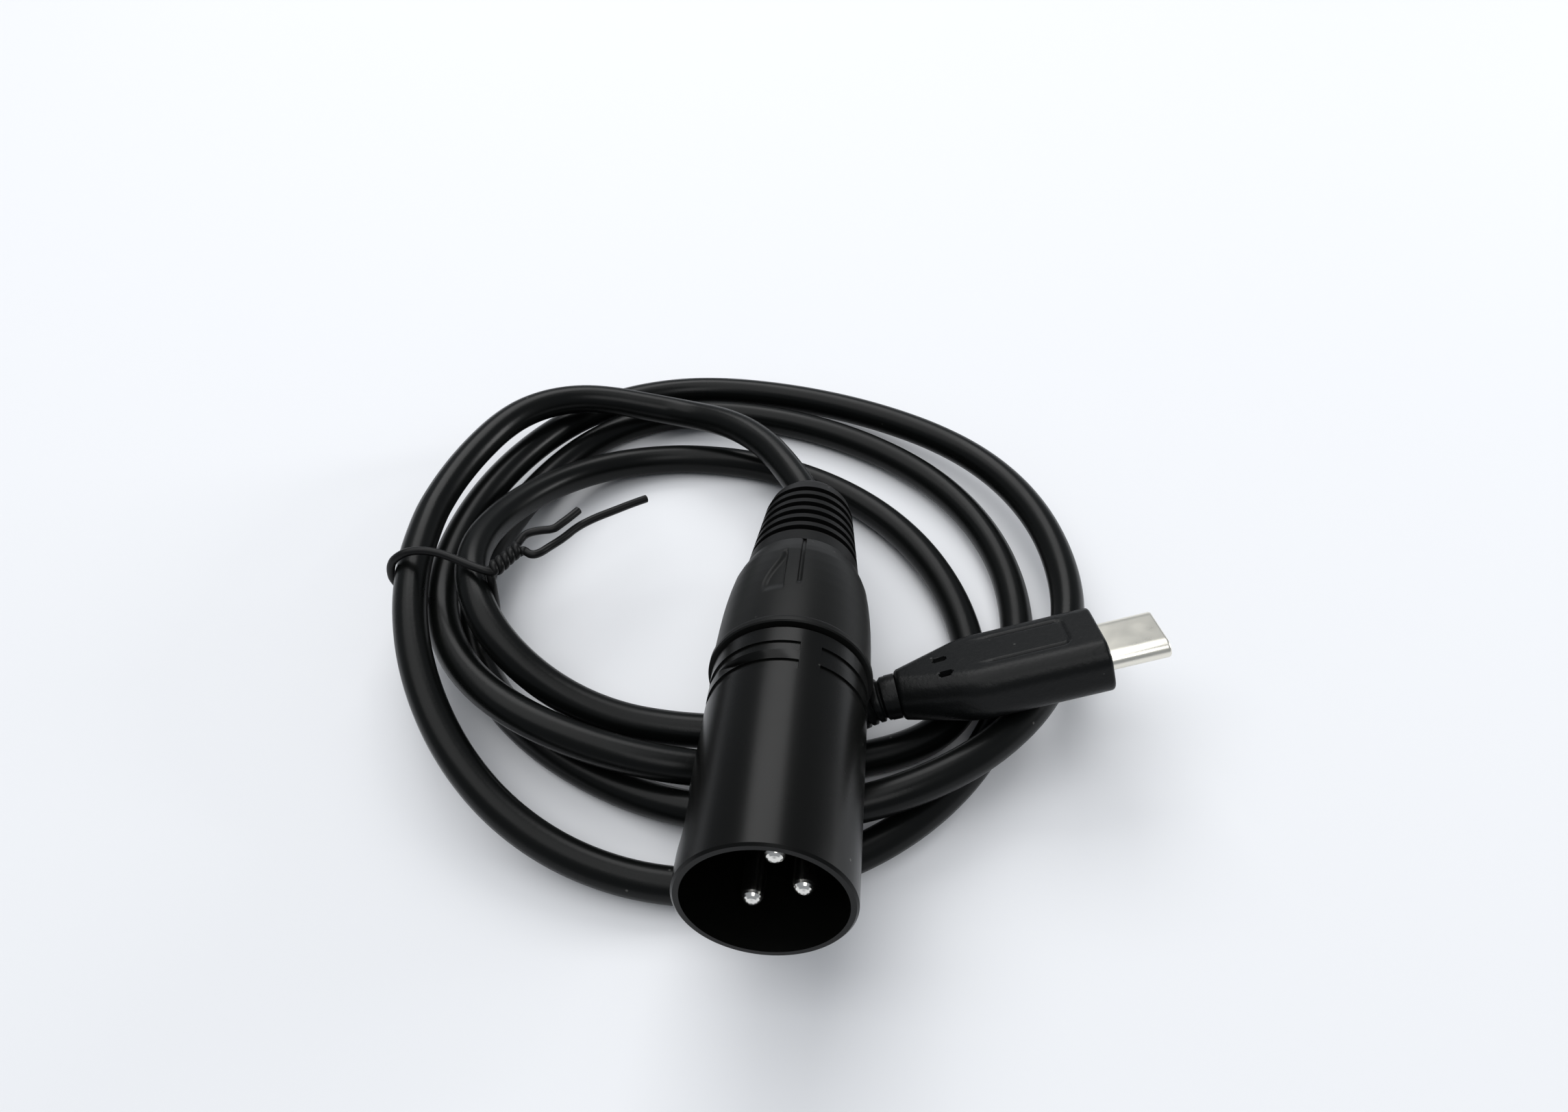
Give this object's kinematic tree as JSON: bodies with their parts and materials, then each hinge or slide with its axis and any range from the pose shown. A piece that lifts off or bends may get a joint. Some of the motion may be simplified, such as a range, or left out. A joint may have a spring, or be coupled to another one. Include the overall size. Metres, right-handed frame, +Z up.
{
  "type": "xlr cable coil",
  "caption": "Coiled round cable with a three-pin XLR plug at one end and a USB-C plug at the other, its turns gathered by a wire tie.",
  "frame": {"origin": "below the middle of the part, on the surface that the coil rests on", "axes": "+Z up, away from the surface; +Y towards the side of the coil away from the XLR plug's mouth; +X towards the USB-C plug"},
  "size_m": [0.0986, 0.1031, 0.0292],
  "materials": {
    "cable_jacket": "matte, faintly satin",
    "barrel_metal": "satin dark coat",
    "black_plastic": "matte",
    "boot_rubber": "matte",
    "silver_contact": "polished silver plate",
    "gold_contact": "gold plate",
    "spring_metal": "plain",
    "plug_steel": "satin nickel plate",
    "moulding": "matte",
    "wire_cover": "matte",
    "board": "matte",
    "chip": "matte",
    "capacitor": "matte",
    "tie_cover": "satin"
  },
  "bodies": {
    "cable": {"cable_coil": "cable_jacket", "cable_usb_root": "cable_jacket", "cable_usb_tail": "cable_jacket", "cable_xlr_root": "cable_jacket", "cable_xlr_tail": "cable_jacket", "chuck": "black_plastic", "conductor_cold": "wire_cover", "conductor_hot": "wire_cover", "conductor_shield": "wire_cover", "ground_ring": "spring_metal", "pin_1": "silver_contact", "pin_2": "silver_contact", "pin_3": "silver_contact", "shrink_sleeve": "black_plastic", "twist_tie": "tie_cover", "usb_board": "board", "usb_capacitor_1": "capacitor", "usb_capacitor_2": "capacitor", "usb_collar": "moulding", "usb_contact_lower_1": "gold_contact", "usb_contact_lower_12": "gold_contact", "usb_contact_lower_4": "gold_contact", "usb_contact_lower_5": "gold_contact", "usb_contact_lower_9": "gold_contact", "usb_contact_upper_1": "gold_contact", "usb_contact_upper_12": "gold_contact", "usb_contact_upper_4": "gold_contact", "usb_contact_upper_5": "gold_contact", "usb_contact_upper_6": "gold_contact", "usb_contact_upper_7": "gold_contact", "usb_contact_upper_9": "gold_contact", "usb_converter_chip": "chip", "usb_crimp_ferrule": "spring_metal", "usb_crystal": "plug_steel", "usb_insulator": "black_plastic", "usb_mid_plate": "spring_metal", "usb_overmould": "moulding", "usb_shell": "plug_steel", "usb_strain_relief": "moulding", "usb_wire_1": "wire_cover", "usb_wire_2": "wire_cover", "usb_wire_3": "wire_cover", "usb_wire_4": "wire_cover", "xlr_insert": "black_plastic"},
    "shell": {"xlr_shell": "barrel_metal"},
    "nut": {"backshell_nut": "barrel_metal", "boot": "boot_rubber"}
  },
  "joints": [
    {"name": "nut_turn", "type": "hinge", "parent": "cable", "child": "nut", "pos_m": [0.00482, -0.01071, 0.01422], "axis": [0.0879, 0.9848, -0.1495], "range_deg": [0, 1800]},
    {"name": "shell_slide", "type": "slide", "parent": "cable", "child": "shell", "axis": [-0.0879, -0.9848, 0.1495], "range_m": [0, 0.005]}
  ],
  "couplings": [
    {"joint": "nut_turn", "follows": "shell_slide", "rad_per_m": 6283.2}
  ]
}
